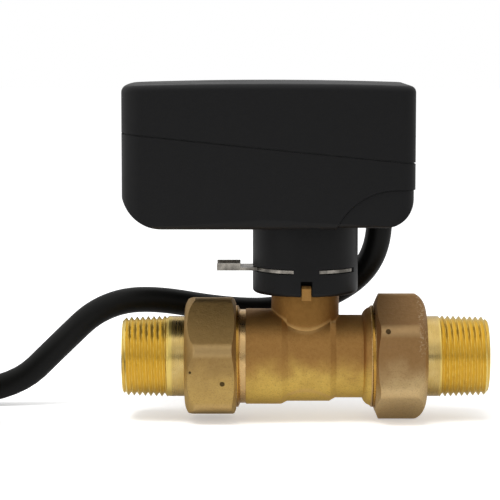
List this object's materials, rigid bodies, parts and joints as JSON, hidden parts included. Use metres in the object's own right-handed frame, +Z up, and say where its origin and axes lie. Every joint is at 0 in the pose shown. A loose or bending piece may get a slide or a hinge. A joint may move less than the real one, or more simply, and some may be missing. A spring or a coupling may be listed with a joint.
{
  "type": "motorized zone valve",
  "caption": "Two-way brass ball valve with union tails and a black geared electric actuator held on its neck by a slide clip, with a control cable",
  "frame": {"origin": "where the axis of the two ports crosses the axis of the stem", "axes": "+X along the ports to the right-hand tail, +Z up the stem to the actuator, +Y away from the reader of the front face"},
  "size_m": [0.2553, 0.0989, 0.1102],
  "materials": {
    "cast_brass": "sand-cast surface, dull",
    "turned_brass": "turned, bright",
    "nut_brass": "rough cast with bright high spots",
    "ball_chrome": "polished",
    "black_plastic": "moulded, satin",
    "spring_steel": "stamped",
    "steel": "plated",
    "white_seal": "smooth",
    "black_rubber": "matte",
    "gear_plastic": "moulded",
    "cam_plastic": "moulded",
    "switch_plastic": "moulded",
    "board_green": "solder mask",
    "terminal_green": "moulded",
    "relay_blue": "moulded",
    "capacitor_sleeve": "shrunk sleeve",
    "motor_can": "satin",
    "cable_jacket": "satin",
    "wire_insulation": "smooth",
    "ferrule_tin": "plated"
  },
  "bodies": {
    "valve_and_casing": {"valve_body": "cast_brass", "tailpiece_left": "turned_brass", "tailpiece_right": "turned_brass", "seat_retainer": "turned_brass", "gland_bush": "turned_brass", "seat_left": "white_seal", "seat_right": "white_seal", "union_gasket_left": "black_rubber", "union_gasket_right": "black_rubber", "base_housing": "black_plastic", "top_cover": "black_plastic", "cable_cover": "black_plastic", "casing_seal": "black_rubber", "casing_screws": "steel", "gear_plate": "steel", "bearing_plate": "steel", "plate_pillars": "steel", "plate_screws": "steel", "gear_axle": "steel", "gear_motor": "motor_can", "motor_screws": "steel", "microswitch_closed": "switch_plastic", "microswitch_open": "switch_plastic", "switch_screws": "steel", "circuit_board": "board_green", "board_brackets": "steel", "board_screws": "steel", "relay": "relay_blue", "capacitor": "capacitor_sleeve", "terminal_block": "terminal_green", "cable_grommet": "black_rubber", "cord_clamp": "switch_plastic", "clamp_screw": "steel", "cable_lead_in": "cable_jacket", "lead_wires": "wire_insulation", "cable_run": "cable_jacket", "cable_coil": "cable_jacket", "cable_cores": "wire_insulation", "core_ferrules": "ferrule_tin"},
    "valve_drive": {"ball": "ball_chrome", "stem": "turned_brass", "stem_orings": "black_rubber", "output_gear": "gear_plastic", "cam_open": "cam_plastic", "cam_closed": "cam_plastic"},
    "reduction_gear": {"reduction_gear": "gear_plastic"},
    "motor_pinion": {"motor_pinion": "steel"},
    "switch_lever_open": {"switch_lever_open": "spring_steel"},
    "switch_lever_closed": {"switch_lever_closed": "spring_steel"},
    "union_nut_left": {"union_nut_left": "nut_brass"},
    "union_nut_right": {"union_nut_right": "nut_brass"},
    "retaining_clip": {"retaining_clip": "spring_steel"}
  },
  "joints": [
    {"name": "valve_turn", "type": "hinge", "parent": "valve_and_casing", "child": "valve_drive", "pos_m": [0, 0, 0], "axis": [0, 0, -1], "range_deg": [0, 90]},
    {"name": "reduction_turn", "type": "hinge", "parent": "valve_and_casing", "child": "reduction_gear", "pos_m": [-0.0256, 0.00451, 0.055], "axis": [0, 0, -1], "range_deg": [-300, 0]},
    {"name": "motor_turn", "type": "hinge", "parent": "valve_and_casing", "child": "motor_pinion", "pos_m": [-0.0391, -0.01157, 0.058], "axis": [0, 0, -1], "range_deg": [0, 750]},
    {"name": "open_lever_swing", "type": "hinge", "parent": "valve_and_casing", "child": "switch_lever_open", "pos_m": [0.0079, 0.013, 0.0719], "axis": [0, 0, -1], "range_deg": [0, 9.99]},
    {"name": "closed_lever_swing", "type": "hinge", "parent": "valve_and_casing", "child": "switch_lever_closed", "pos_m": [0.0079, 0.013, 0.0663], "axis": [0, 0, -1], "range_deg": [-9.99, 0]},
    {"name": "left_nut_turn", "type": "hinge", "parent": "valve_and_casing", "child": "union_nut_left", "pos_m": [-0.031, 0, 0], "axis": [1, 0, 0], "continuous": true},
    {"name": "right_nut_turn", "type": "hinge", "parent": "valve_and_casing", "child": "union_nut_right", "pos_m": [0.031, 0, 0], "axis": [1, 0, 0], "continuous": true},
    {"name": "clip_pull", "type": "slide", "parent": "valve_and_casing", "child": "retaining_clip", "axis": [-1, 0, 0], "range_m": [0, 0.027]}
  ],
  "couplings": [
    {"joint": "reduction_turn", "follows": "valve_turn", "ratio": -3.3333},
    {"joint": "motor_turn", "follows": "valve_turn", "ratio": 8.3333},
    {"joint": "open_lever_swing", "follows": "valve_turn", "ratio": 0.111},
    {"joint": "closed_lever_swing", "follows": "valve_turn", "ratio": -0.111}
  ]
}
